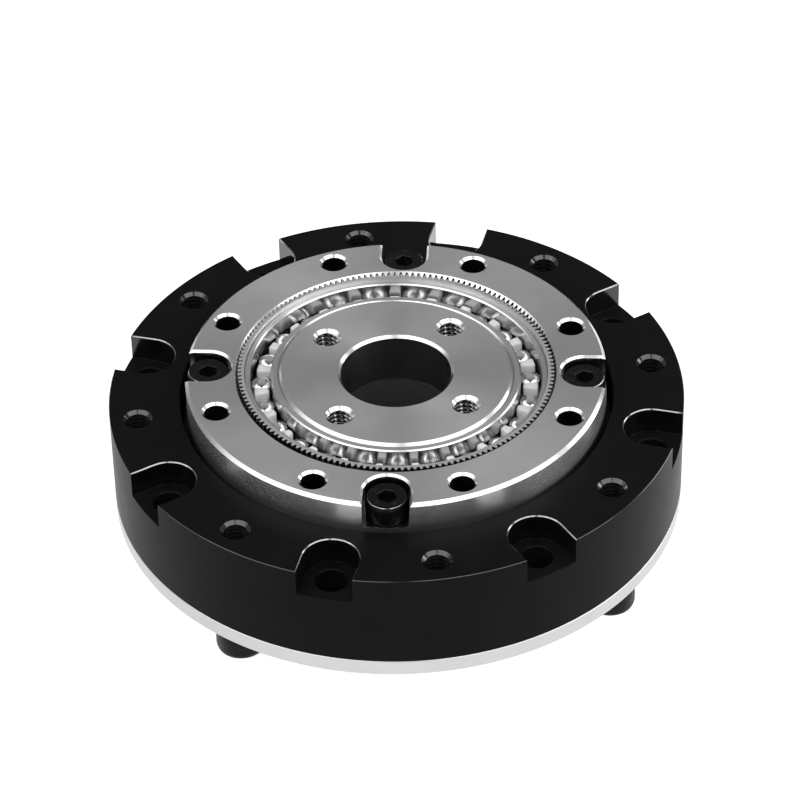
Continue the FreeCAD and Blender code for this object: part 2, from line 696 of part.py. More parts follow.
def wave_plug():
    """The oval plug that the input shaft turns, with a bore and tapped holes."""
    chamfer = "Dims.plug_chamfer"
    bore = "Dims.plug_bore_radius"
    blank = oval_tower(
        "plug_oval",
        [
            (PLUG_BASE, f"{PLUG_RADIUS} - {chamfer}", WAVE),
            (f"{PLUG_BASE} + {chamfer}", PLUG_RADIUS, WAVE),
            (f"{PLUG_TOP} - {chamfer}", PLUG_RADIUS, WAVE),
            (PLUG_TOP, f"{PLUG_RADIUS} - {chamfer}", WAVE),
        ],
    )
    height = "Dims.plug_height"
    tools = [
        part("Cylinder", "plug_bore_tool", Radius=bore, Height=height, Placement__Base__z=PLUG_BASE),
        part(
            "Cone",
            "plug_bore_chamfer",
            Radius1=bore,
            Radius2=f"{bore} + {chamfer}",
            Height=chamfer,
            Placement__Base__z=f"{PLUG_TOP} - {chamfer}",
        ),
    ]
    for index in range(int(size("Dims.plug_taps"))):
        radius = "Dims.plug_tap_radius"
        tap = part("Cylinder", f"plug_tap_{index + 1}", Radius=radius, Height=height)
        turn = f"({WAVE_TURN} + {FULL_TURN * index} / Dims.plug_taps)"
        tools.append(place_at(tap, "Dims.plug_tap_circle", turn, PLUG_BASE))
    node(cut_all("wave_plug", blank, tools), "wave_plug")


def cap_screw(name, sizes, core):
    """A socket head cap screw on Z: its seat at zero, the head above, the thread below."""
    radius = f"{sizes}_head_radius"
    head = part("Cylinder", name + "_head", Radius=radius, Height=f"{sizes}_head_height")
    radius = f"{core} - Dims.thread_fit"
    stem = part("Cylinder", name + "_stem", Radius=radius, Height=f"{sizes}_length")
    bind(stem, Placement__Base__z=f"-{sizes}_length")
    socket = part(
        "Prism",
        name + "_hex",
        Circumradius=f"{sizes}_hex / 2 / cos(30 deg)",
        Height=f"{sizes}_socket",
        Placement__Base__z=f"{sizes}_head_height - {sizes}_socket",
    )
    socket.Polygon = 6
    screw = combine("Cut", name, fuse(name + "_blank", [head, stem]), socket)
    doc.recompute()
    return screw.Shape.copy()


def screws():
    """The screws that hold the flexspline to the housing and the spline to its ring."""
    upside_down = Rotation(Vector(1, 0, 0), HALF_TURN)
    below = cap_screw("flange_screw", "Dims.flange_screw", "Dims.ring_tap_radius")
    below.Placement = Placement(Vector(size(RING_CIRCLE), 0, size(FLANGE_BASE)), upside_down)
    step = size(TAP_STEP)
    group = around(below, int(size(FLANGE_SCREWS)), step, 2 * step)
    node(fixed_shape("flange_screw_group", group), "flange_screws")
    above = cap_screw("spline_screw", "Dims.spline_screw", "Dims.spline_screw_core")
    above.Placement = Placement(Vector(size(SPLINE_CIRCLE), 0, size(SPLINE_SEAT)), Rotation())
    count = int(size("Dims.spline_notches"))
    group = around(above, count, size("Dims.spline_turn"), FULL_TURN / count)
    node(fixed_shape("spline_screw_group", group), "spline_screws")


def check(item):
    """Stop if a piece failed to build."""
    if {"Invalid", "Error"} & set(item.State):
        raise ValueError(f"{item.Label} did not build: {item.State}")
    if item.Shape.isNull() or not item.Shape.isValid():
        raise ValueError(f"{item.Label} has no valid shape")


def main():
    """Build every piece, check it and write it out."""
    fill_sheet()
    track = roller_track()
    outer_ring(track)
    loading_plug(track)
    inner_ring(track)
    roller_set()
    circular_spline()
    flexspline()
    bearing_races()
    ball_cage()
    bearing_balls()
    wave_plug()
    screws()
    doc.recompute()
    os.makedirs("parts", exist_ok=True)
    for item in doc.Objects:
        if hasattr(item, "Shape"):
            check(item)
    for item in nodes:
        item.Shape.exportStep(f"parts/{item.Label}.step")
        print(item.Label, len(item.Shape.Solids), round(item.Shape.Volume, 3))


main()
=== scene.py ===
"""Looks of a flat strain wave gearbox: housing, output ring, hat, ball bearing, screws and studio."""

import logging
import math
from dataclasses import dataclass
from enum import Enum
from typing import Sequence, TypeVar

import bmesh
import bpy
import numpy as np
from mathutils import Matrix, Vector
from mathutils.geometry import delaunay_2d_cdt


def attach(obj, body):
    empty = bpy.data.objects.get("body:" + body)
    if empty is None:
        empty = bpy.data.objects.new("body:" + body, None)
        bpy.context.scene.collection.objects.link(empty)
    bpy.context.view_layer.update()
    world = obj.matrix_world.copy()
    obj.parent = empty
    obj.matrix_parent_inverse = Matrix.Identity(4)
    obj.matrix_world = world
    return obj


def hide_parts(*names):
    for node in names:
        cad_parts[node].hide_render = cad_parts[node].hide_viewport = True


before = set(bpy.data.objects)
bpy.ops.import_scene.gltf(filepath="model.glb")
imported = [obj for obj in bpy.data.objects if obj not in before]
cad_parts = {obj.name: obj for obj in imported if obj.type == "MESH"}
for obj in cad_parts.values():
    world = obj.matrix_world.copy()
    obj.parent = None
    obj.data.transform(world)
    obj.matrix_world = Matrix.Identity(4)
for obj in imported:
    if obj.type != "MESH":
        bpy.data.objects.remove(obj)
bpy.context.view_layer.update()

LOG = logging.getLogger("gearbox")

MM = 0.001
FULL_TURN = 2 * math.pi
WAVE_HEIGHT = 0.176
WAVE_TURN = math.radians(132.9)
SAME_POINT = 0.0002 * MM
SHARP_EDGE = math.radians(28)
NEARLY_STRAIGHT = 0.999
HOLE_SIDES = 40
ENCLOSED_TRIANGLES = 1
ONE_PLACE = 1e-6
PICTURE_WIDTH = 800

Span = Point = tuple[float, float]
Triple = tuple[float, float, float]
Loop = list[Point]
Level = tuple[Loop, float]
Ring = list[bmesh.types.BMVert]
Socket = bpy.types.NodeSocket
Inputs = dict[str | int, float | Sequence[float] | Socket]
Each = TypeVar("Each")

CENTRE: Point = (0.0, 0.0)


# Outlines


def polar(radius: float, angle: float, centre: Point = CENTRE) -> Point:
    """The point at a radius and an angle from a centre."""
    return centre[0] + radius * math.cos(angle), centre[1] + radius * math.sin(angle)


def circle(radius: float, count: int, centre: Point = CENTRE, turn: float = 0.0) -> Loop:
    """A circle as a closed loop of points, from a first angle."""
    return [polar(radius, turn + FULL_TURN * i / count, centre) for i in range(count)]


def oval(radius: float, count: int) -> Loop:
    """A circle of a mean radius, bent by the wave, as a closed loop of points."""
    angles = [FULL_TURN * i / count for i in range(count)]
    return [polar(radius + WAVE_HEIGHT * math.cos(2 * (a - WAVE_TURN)), a) for a in angles]


def arc(centre: Point, radius: float, start: float, end: float, steps: int) -> Loop:
    """An open run of points along an arc, both ends included."""
    return [polar(radius, start + (end - start) * i / steps, centre) for i in range(steps + 1)]


def turned(loop: Loop, angle: float) -> Loop:
    """A loop turned about the axis of the gearbox."""
    c, s = math.cos(angle), math.sin(angle)
    return [(x * c - y * s, x * s + y * c) for x, y in loop]


def plan(ring: Ring) -> Loop:
    """A ring of points, seen from above."""
    return [(v.co.x / MM, v.co.y / MM) for v in ring]


def bolt_circle(radius: float, count: int, first: float) -> list[Point]:
    """Centres of holes at equal angles, from a first angle."""
    return circle(radius, count, turn=first)


def collar(radius: float, edge: float, low: float, high: float) -> list[Point]:
    """The section of a round wall, with a chamfer at each end.

    Args:
        radius: radius of the wall, in mm.
        edge: width of the chamfers, above 0 on an outside and below 0 in a bore.
        low: height of the lower end.
        high: height of the upper end.

    Returns:
        Radius and height of each point, from the upper end down.
    """
    step = abs(edge)
    return [(radius - edge, high), (radius, high - step), (radius, low + step), (radius - edge, low)]


def inset(loop: Loop, distances: Sequence[float]) -> Loop:
    """A loop whose sides move into the metal that it goes round.

    Args:
        loop: closed loop that runs anticlockwise.
        distances: how far each side moves, in mm, from the side after the first point on.

    Returns:
        The moved loop, with as many points.
    """
    points = np.array(loop)
    along = np.roll(points, -1, 0) - points
    along /= np.linalg.norm(along, axis=1, keepdims=True)
    after = np.stack([-along[:, 1], along[:, 0]], 1)
    before = np.roll(after, 1, 0)
    far, near = np.array(distances), np.roll(distances, 1)
    turn = (after * before).sum(1)
    straight = turn > NEARLY_STRAIGHT
    spread = np.where(straight, 1.0, 1 - turn**2)
    on_after = np.where(straight, far / 2, (far - turn * near) / spread)
    on_before = np.where(straight, near / 2, (near - turn * far) / spread)
    moved = points + after * on_after[:, None] + before * on_before[:, None]
    return [(float(x), float(y)) for x, y in moved]


@dataclass(frozen=True)
class Teeth:
    """A circle of fine trapezoid teeth, round or bent to the oval of the wave."""

    count: int
    tip: float
    root: float
    pitch: float
    wave: float
    turn: float
    thickness: float = 0.24464
    tip_land: float = 0.1408

    def loop(self) -> Loop:
        """The outline of all the teeth.

        Returns:
            The closed loop, with four points to a tooth, from root to root.
        """
        slope = (self.thickness - self.tip_land) / abs(self.tip - self.pitch)
        root_land = self.thickness + slope * abs(self.pitch - self.root)
        land = self.tip_land
        flanks = ((-root_land, self.root), (-land, self.tip), (land, self.tip), (root_land, self.root))
        points = []
        for i in range(self.count):
            for width, radius in flanks:
                angle = FULL_TURN * i / self.count + width / (2 * radius)
                shift = self.wave * math.sin(2 * angle) / (2 * self.pitch)
                bent = radius + self.wave * math.cos(2 * angle)
                points.append(polar(bent, self.turn + angle - shift))
        return points


@dataclass(frozen=True)
class NotchedRim:
    """A round rim with U notches that open outwards at equal angles."""

    radius: float
    notch_circle: float
    notch_radius: float
    first: float
    count: int
    land_steps: int = 28
    notch_steps: int = 26
    mouth_steps: int = 10
    corner: float = 0.45

    def notches(self) -> list[Loop]:
        """The U of each notch, without the two corners at its mouth.

        Returns:
            One open loop for each notch, in order.
        """
        r = self.notch_radius
        bend = arc((self.notch_circle, 0.0), r, -math.pi / 2, -1.5 * math.pi, self.notch_steps)
        start = math.sqrt(self.radius**2 - r**2) - self.corner
        legs = [(start, -r), ((start + self.notch_circle) / 2, -r)]
        curve = legs + bend + [(x, -y) for x, y in reversed(legs)]
        return [turned(curve, self.first + FULL_TURN * k / self.count) for k in range(self.count)]

    def half_mouth(self) -> float:
        """Half of the angle that a notch takes from the rim."""
        return math.asin(self.notch_radius / self.radius)

    def lands(self) -> list[Loop]:
        """The rim's arcs between the notches, with their ends."""
        step, half = FULL_TURN / self.count, self.half_mouth()
        return [self.span(k, half, step - half, self.land_steps) for k in range(self.count)]

    def mouths(self) -> list[Loop]:
        """The rim's arcs across the mouths of the notches, without their ends."""
        half = self.half_mouth()
        return [self.span(k, -half, half, self.mouth_steps)[1:-1] for k in range(self.count)]

    def span(self, notch: int, start: float, end: float, steps: int) -> Loop:
        """An arc of the rim between two angles from the middle of a notch."""
        middle = self.first + FULL_TURN / self.count * notch
        return arc(CENTRE, self.radius, middle + start, middle + end, steps)

    def loop(self) -> Loop:
        """The whole outline, notches included, from the first notch."""
        return [p for notch, land in zip(self.notches(), self.lands()) for p in notch + land]

    def sides(self, land: Each, notch: Each) -> list[Each]:
        """One value for each side of the outline, by whether it is on the rim or in a notch."""
        in_notch = [notch] * len(self.notches()[0])
        return (in_notch + [land] * self.land_steps + [notch]) * self.count

    def points(self, land: float, notch: float) -> list[float]:
        """One value for each point of the outline. The corners at a mouth are on the rim."""
        in_notch = [notch] * len(self.notches()[0])
        return (in_notch + [land] * (self.land_steps + 1)) * self.count


# Finishes


class Nodes:
    """The nodes of a material or of the sky."""

    def __init__(self, tree: bpy.types.NodeTree) -> None:
        """Take the tree that the nodes go into."""
        self.tree = tree

    def fill(self, node: bpy.types.Node, inputs: Inputs) -> None:
        """Set inputs of a node, or link them.

        Args:
            node: the node.
            inputs: a number, a colour or another node's output for each input.
        """
        for key, value in inputs.items():
            if isinstance(value, Socket):
                self.tree.links.new(value, node.inputs[key])
            else:
                node.inputs[key].default_value = value

    def add(self, kind: str, inputs: Inputs, output: str | int = 0, **traits: str) -> Socket:
        """A new node.

        Args:
            kind: type of the node, without the prefix that all have.
            inputs: what goes into it.
            output: which of its outputs is wanted.
            traits: its other properties.

        Returns:
            The wanted output.
        """
        node = self.tree.nodes.new("ShaderNode" + kind)
        for trait, value in traits.items():
            setattr(node, trait, value)
        self.fill(node, inputs)
        return node.outputs[output]

    def noise(self, place: Socket, size: float, detail: float) -> Socket:
        """Cloudy noise whose blots are about a size across, in mm."""
        return self.add("TexNoise", {"Vector": place, "Scale": 1 / (size * MM), "Detail": detail}, "Fac")


class Grain(Enum):
    """What left the fine marks on a surface."""

    GROUND = "ground"
    TURNED = "turned"
    SATIN = "satin"
    MOULDED = "moulded"
    POLISHED = "polished"


CLOUD_SIZE, CLOUD_DETAIL = 3.1, 3.0
MARK_DETAIL, RING_DETAIL, MOULDED_DETAIL = 5.0, 2.0, 2.0
POLISH_STRETCH, POLISH_TURN = (1, 0.2, 1), (0.2, 0.3, 0.7)
SHADE_SPAN = (0.3, 0.7)
RUB_SIZE, RUB_SPAN, RUB_REACH = 0.8, (0.62, 0.78), 0.3
ACROSS_THE_LAY = 0.25


@dataclass(frozen=True)
class Finish:
    """A finish: colour, gloss and the fine marks of how the surface was made."""

    name: str
    colour: Triple
    metallic: float
    roughness: float
    grain: Grain
    grain_size: float
    grain_depth: float
    shade: float = 0.12
    gloss_swing: float = 0.1
    specular: float = 0.5
    streak: float = 0.0
    edge: float = 0.04
    worn: Triple | None = None
    wear: float = 0.0

    def material(self) -> bpy.types.Material:
        """The node material of this finish, made once.

        Returns:
            The material.
        """
        made = bpy.data.materials.get(self.name)
        if made is None:
            made = bpy.data.materials.new(self.name)
            made.use_nodes = True
            self.dress(Nodes(made.node_tree))
        return made

    def dress(self, nodes: Nodes) -> None:
        """Wire the marks, shades and gloss of the finish into a material's nodes.

        Args:
            nodes: nodes that hold one Principled shader.
        """
        place = nodes.add("TexCoord", {}, "Object")
        marks = self.marks(nodes, place)
        cloud = nodes.noise(place, CLOUD_SIZE, CLOUD_DETAIL)
        dull, bright = self.roughness * (1 + self.gloss_swing), self.roughness * (1 - self.gloss_swing)
        edge = {"Normal": nodes.add("Bevel", {"Radius": self.edge * MM})} if self.edge else {}
        inputs = {
            "Base Color": self.shades(nodes, place, marks, cloud),
            "Metallic": self.metallic,
            "Roughness": nodes.add("MapRange", {"Value": cloud, "To Min": bright, "To Max": dull}),
            "Normal": nodes.add("Bump", {"Distance": self.grain_depth * MM, "Height": marks, **edge}),
            "Specular IOR Level": self.specular,
            "Anisotropic": self.streak,
        }
        if self.streak:
            inputs["Tangent"] = nodes.add("Tangent", {}, direction_type="RADIAL", axis="Z")
            inputs["Anisotropic Rotation"] = ACROSS_THE_LAY
        nodes.fill(nodes.tree.nodes["Principled BSDF"], inputs)

    def shades(self, nodes: Nodes, place: Socket, marks: Socket, cloud: Socket) -> Socket:
        """Two close shades that follow the marks, with worn metal where the finish has rubbed off.

        Args:
            nodes: the material's nodes.
            place: position on the piece.
            marks: height of the fine marks.
            cloud: slow noise that moves the shades about.

        Returns:
            The colour.
        """
        half = nodes.add("Math", {0: cloud, 1: 0.5}, operation="MULTIPLY")
        blend = nodes.add("Math", {0: marks, 1: 0.5, 2: half}, operation="MULTIPLY_ADD")
        colour = nodes.add("ValToRGB", {"Fac": blend}, "Color")
        low, high = colour.node.color_ramp.elements
        low.position, high.position = SHADE_SPAN
        low.color = [c * (1 - self.shade) for c in self.colour] + [1]
        high.color = [min(1.0, c * (1 + self.shade)) for c in self.colour] + [1]
        if not self.worn:
            return colour
        rubbed = nodes.noise(place, RUB_SIZE, MARK_DETAIL)
        start = RUB_SPAN[0] - RUB_REACH * self.wear
        patch = nodes.add("MapRange", {"Value": rubbed, "From Min": start, "From Max": RUB_SPAN[1]})
        mixed = {"Factor": patch, "A": colour, "B": (*self.worn, 1)}
        return nodes.add("Mix", mixed, "Result", data_type="RGBA")

    def marks(self, nodes: Nodes, place: Socket) -> Socket:
        """Height of the fine marks: rings from a lathe, scratches, grinding or moulded grain.

        Args:
            nodes: the material's nodes.
            place: position on the piece.

        Returns:
            A value from 0 to 1.
        """
        if self.grain is Grain.TURNED:
            flat = nodes.add("VectorMath", {0: place, 1: (1, 1, 0)}, operation="MULTIPLY")
            reach = nodes.add("VectorMath", {0: flat}, "Value", operation="LENGTH")
            along = nodes.add("Math", {0: reach, 1: nodes.add("SeparateXYZ", {0: place}, "Z")})
            rings = {"Scale": 1 / (self.grain_size * MM), "Detail": RING_DETAIL, "W": along}
            return nodes.add("TexNoise", rings, "Fac", noise_dimensions="1D")
        if self.grain is Grain.POLISHED:
            drawn = {"Vector": place, "Scale": POLISH_STRETCH, "Rotation": POLISH_TURN}
            place = nodes.add("Mapping", drawn)
        detail = MOULDED_DETAIL if self.grain is Grain.MOULDED else MARK_DETAIL
        return nodes.noise(place, self.grain_size, detail)


SATIN_BLACK = Finish(
    "satin_black", (0.0055, 0.0055, 0.0057), 0.0, 0.34, Grain.SATIN, 0.09, 0.0012,
    shade=0.25, gloss_swing=0.16, specular=0.04,
)
BLACK_WALL = Finish(
    "milled_black", (0.003, 0.003, 0.0032), 0.0, 0.13, Grain.SATIN, 0.12, 0.001,
    shade=0.25, gloss_swing=0.16, specular=0.7,
)
BLACK_EDGE = Finish(
    "rubbed_black_edge", (0.24, 0.24, 0.24), 1.0, 0.15, Grain.SATIN, 0.08, 0.001,
    shade=0.3, gloss_swing=0.2, worn=(0.32, 0.32, 0.32), wear=0.4,
)
GROUND_STEEL = Finish(
    "ground_face", (0.6, 0.6, 0.6), 1.0, 0.44, Grain.GROUND, 0.06, 0.0006,
    shade=0.06, gloss_swing=0.08, streak=0.8,
)
# Turned outer walls, brighter than the ground face of the same steel: painted light
TURNED_STEEL_PAINTED_LIGHT = Finish(
    "turned_steel_painted_light", (0.9, 0.9, 0.9), 1.0, 0.26, Grain.TURNED, 1.2, 0.0006,
    shade=0.03, streak=0.8, edge=0.0,
)
# Milled walls, at half the colour of the ground face of the same steel: painted shade in notches, holes
# and between teeth
MILLED_STEEL_PAINTED_SHADE = Finish(
    "milled_steel_painted_shade", (0.3, 0.3, 0.3), 1.0, 0.22, Grain.GROUND, 0.1, 0.0008, shade=0.1, edge=0.07,
)
BRIGHT_CHAMFER = Finish(
    "bright_chamfer", (0.6, 0.6, 0.6), 1.0, 0.22, Grain.GROUND, 0.05, 0.0003, shade=0.05, edge=0.02,
)
# Bored wall, far below the plug's ground face in colour: painted shade inside the bore
BORED_STEEL_PAINTED_SHADE = Finish(
    "bored_steel_painted_shade", (0.24, 0.24, 0.24), 1.0, 0.26, Grain.TURNED, 0.12, 0.0008,
    shade=0.15, streak=0.7, edge=0.04,
)
# Threads, below the plug's ground face in colour: painted shade in the tapped holes
THREAD_STEEL_PAINTED_SHADE = Finish(
    "thread_steel_painted_shade", (0.36, 0.36, 0.36), 1.0, 0.16, Grain.GROUND, 0.06, 0.0004, shade=0.08, edge=0.0,
)
# The hat's bright turned finish made darker: painted shade on the side of the flange
FLANGE_STEEL_PAINTED_SHADE = Finish(
    "flange_steel_painted_shade", (0.52, 0.52, 0.515), 1.0, 0.32, Grain.TURNED, 0.07, 0.0009, shade=0.06, streak=0.4,
)
BRIGHT_TURNED = Finish(
    "bright_turned", (0.82, 0.82, 0.815), 1.0, 0.32, Grain.TURNED, 0.07, 0.0009, shade=0.06, streak=0.4,
)
# Polished race steel, below the ground steel of the race's ends in colour: painted shade of the narrow
# gap it sits in
BEARING_STEEL_PAINTED_SHADE = Finish(
    "race_polish_painted_shade", (0.5, 0.5, 0.505), 1.0, 0.18, Grain.POLISHED, 0.12, 0.0002,
    shade=0.05, streak=0.85,
)
BALL_STEEL = Finish(
    "ball_polish", (0.8, 0.8, 0.805), 1.0, 0.06, Grain.POLISHED, 0.2, 0.0001, shade=0.03, edge=0.0,
)
NYLON = Finish(
    "white_nylon", (0.93, 0.93, 0.92), 0.0, 0.42, Grain.MOULDED, 0.3, 0.006,
    shade=0.04, specular=0.45, edge=0.0,
)
BLACK_OXIDE = Finish(
    "black_oxide", (0.004, 0.004, 0.0043), 0.0, 0.28, Grain.SATIN, 0.07, 0.0015,
    shade=0.3, specular=0.12, worn=(0.02, 0.02, 0.021), wear=0.2,
)


# Meshes


class Skin:
    """A closed surface that grows ring by ring, in millimetres."""

    def __init__(self, *finishes: Finish) -> None:
        """Start with no faces, and with the finishes that they may have, the main one first."""
        self.mesh = bmesh.new()
        self.finishes = finishes

    def ring(self, loop: Loop, height: float, drops: Sequence[float] | None = None) -> Ring:
        """New points along a loop at a height, each lowered by its own drop if there are drops."""
        places = zip(loop, drops or [0.0] * len(loop))
        return [self.mesh.verts.new((x * MM, y * MM, (height - d) * MM)) for (x, y), d in places]

    def face(self, corners: Sequence[bmesh.types.BMVert], finish: Finish | None = None) -> None:
        """One smooth face.

        Args:
            corners: its corners, in order.
            finish: its finish, or None for the main one.
        """
        made = self.mesh.faces.new(corners)
        made.material_index = self.finishes.index(finish) if finish else 0
        made.smooth = True

    def strip(self, one: Ring, two: Ring, finish: Finish | list[Finish] | None = None) -> None:
        """A closed band of faces between two rings of as many points.

        Args:
            one: first ring.
            two: second ring, point against point.
            finish: finish of all faces, or a list with that of each.
        """
        finishes = finish if isinstance(finish, list) else [finish] * len(one)
        for i, dressed in enumerate(finishes):
            j = (i + 1) % len(one)
            self.face((one[i], one[j], two[j], two[i]), dressed)

    def tower(self, levels: Sequence[Level], finishes: Sequence[Finish] | None = None) -> list[Ring]:
        """Bands from level to level.

        Args:
            levels: loops of as many points, each with its height.
            finishes: finish of each band, or None for the main one.

        Returns:
            The rings, in order.
        """
        rings = [self.ring(loop, height) for loop, height in levels]
        for one, two, finish in zip(rings, rings[1:], finishes or [None] * len(rings)):
            self.strip(one, two, finish)
        return rings

    def cap(self, rings: Sequence[Ring], finish: Finish | None = None) -> None:
        """A flat face inside the first ring, with the other rings as its holes.

        Args:
            rings: rings at one height, anticlockwise from above.
            finish: its finish, or None for the main one.
        """
        corners, loops = [], []
        for ring in rings:
            loops.append(list(range(len(corners), len(corners) + len(ring))))
            corners += ring
        points = [Vector(p) for p in plan(corners)]
        filled = delaunay_2d_cdt(points, [], loops, ENCLOSED_TRIANGLES, ONE_PLACE)
        _, _, triangles, sources, _, around = filled
        for triangle, found in zip(triangles, around):
            if found == [0]:
                self.face([corners[sources[i][0]] for i in triangle], finish)

    def notched_wall(
        self, rim: NotchedRim, top: float, edges: Span, hole: list[Point], finishes: Sequence[Finish]
    ) -> tuple[Ring, Ring, list[Ring]]:
        """The chamfer and wall of a notched rim, and the floors of its notches with a hole in each.

        Args:
            rim: the outline.
            top: height of the face inside it.
            edges: width of the chamfer at the round rim and at the notches.
            hole: radius and height of each step of the holes, from the floor down.
            finishes: finish of the chamfer at the rim and at the notches, of the wall at the rim and
                in the notches, and of the floors with their holes.

        Returns:
            The edge of the upper face, the round rim at the height of the floors, and the lower ends
            of the holes.
        """
        rim_edge, notch_edge, rim_wall, notch_wall, plain = finishes
        crown = self.ring(inset(rim.loop(), rim.sides(*edges)), top)
        brow = self.ring(rim.loop(), top, rim.points(*edges))
        self.strip(crown, brow, rim.sides(rim_edge, notch_edge))
        outlines = (rim.notches(), rim.lands(), rim.mouths())
        floor = hole[0][1]
        notches, lands, mouths = ([self.ring(loop, floor) for loop in loops] for loops in outlines)
        foot = [v for notch, land in zip(notches, lands) for v in notch + land]
        self.strip(brow, foot, rim.sides(rim_wall, notch_wall))
        ends = []
        for k, centre in enumerate(bolt_circle(rim.notch_circle, rim.count, rim.first)):
            rings = self.tower([(circle(r, HOLE_SIDES, centre), z) for r, z in hole], [plain] * len(hole))
            outline = [lands[k - 1][-1], *mouths[k], lands[k][0], *reversed(notches[k])]
            self.cap([outline, rings[0]], plain)
            ends.append(rings[-1])
        return crown, [v for mouth, land in zip(mouths, lands) for v in mouth + land], ends

    def move(self, matrix: Matrix, start: int = 0) -> None:
        """Turn and shift all that is built so far, from a first point on."""
        self.mesh.verts.ensure_lookup_table()
        bmesh.ops.transform(self.mesh, matrix=matrix, verts=self.mesh.verts[start:])

    def piece(self, name: str) -> bpy.types.Object:
        """Close the surface and make it an object of the scene.

        Args:
            name: the piece's name.

        Returns:
            The new object.
        """
        bmesh.ops.recalc_face_normals(self.mesh, faces=self.mesh.faces)
        data = bpy.data.meshes.new(name)
        self.mesh.to_mesh(data)
        self.mesh.free()
        for finish in self.finishes:
            data.materials.append(finish.material())
        data.set_sharp_from_angle(angle=SHARP_EDGE)
        made = bpy.data.objects.new(name, data)
        bpy.context.scene.collection.objects.link(made)
        return made


@dataclass(frozen=True)
class Tap:
    """A tapped hole: its countersink and a true helical thread."""

    core: float
    major: float
    pitch: float
    wide: float
    sides: int = HOLE_SIDES
    steps: int = 7
    lead_in: float = 0.25
    crest: float = 0.2
    flank: float = 1.7

    def hole(self, skin: Skin, centre: Point, ends: Span, sink: Finish, thread: Finish) -> list[Ring]:
        """The countersink and the threaded wall.

        Args:
            skin: surface that the hole belongs to.
            centre: the hole's axis.
            ends: heights of the mouth and of the far end.
            sink: finish of the countersink.
            thread: finish of the thread.

        Returns:
            The wide rim of the countersink, and a true circle at the thread's core at the far end.
        """
        top, base = ends
        start = top - (self.wide - self.core)
        cone = [(circle(r, self.sides, centre), z) for r, z in ((self.wide, top), (self.core, start))]
        mouth, last = skin.tower(cone, [sink])
        steps = round((start - base) / self.pitch * self.steps)
        for k in range(1, steps + 1):
            height = start + (base - start) * k / steps
            fade = min(1.0, (start - height) / (self.lead_in * self.pitch), (height - base) / self.pitch)
            loop = []
            for i in range(self.sides):
                phase = (height / self.pitch - i / self.sides) % 1
                depth = min(1.0, max(0.0, self.flank * (abs(2 * phase - 1) - self.crest)))
                radius = self.core + (self.major - self.core) * depth * fade
                loop.append(polar(radius, FULL_TURN * i / self.sides, centre))
            ring = skin.ring(loop, height)
            skin.strip(last, ring, thread)
            last = ring
        return [mouth, last]


def seat(piece: bpy.types.Object, body: str, slot: str, *nodes: str) -> None:
    """Hand a finished piece to the frame.

    Args:
        piece: the object.
        body: body that it moves with.
        slot: material slot that it belongs to; not used.
        nodes: CAD nodes that it stands for.
    """
    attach(piece, body)
    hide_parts(*nodes)
    LOG.info("%s: %d faces on %s", piece.name, len(piece.data.polygons), body)


def drill_through(piece: bpy.types.Object, cutter: Skin) -> None:
    """Cut a closed surface out of a piece for good.

    Args:
        piece: object to cut.
        cutter: closed surface of the cut.
    """
    tool = cutter.piece("drill")
    cut = piece.modifiers.new("drill", "BOOLEAN")
    cut.operation, cut.solver, cut.object = "DIFFERENCE", "EXACT", tool
    bpy.context.view_layer.update()
    done = piece.evaluated_get(bpy.context.evaluated_depsgraph_get())
    data = bpy.data.meshes.new_from_object(done)
    piece.modifiers.remove(cut)
    surface = bmesh.new()
    surface.from_mesh(data)
    bmesh.ops.remove_doubles(surface, verts=surface.verts, dist=SAME_POINT)
    bmesh.ops.dissolve_degenerate(surface, edges=surface.edges, dist=SAME_POINT)
    surface.to_mesh(data)
    surface.free()
    piece.data = data
    data.set_sharp_from_angle(angle=SHARP_EDGE)
    bpy.data.objects.remove(tool)


# Pieces


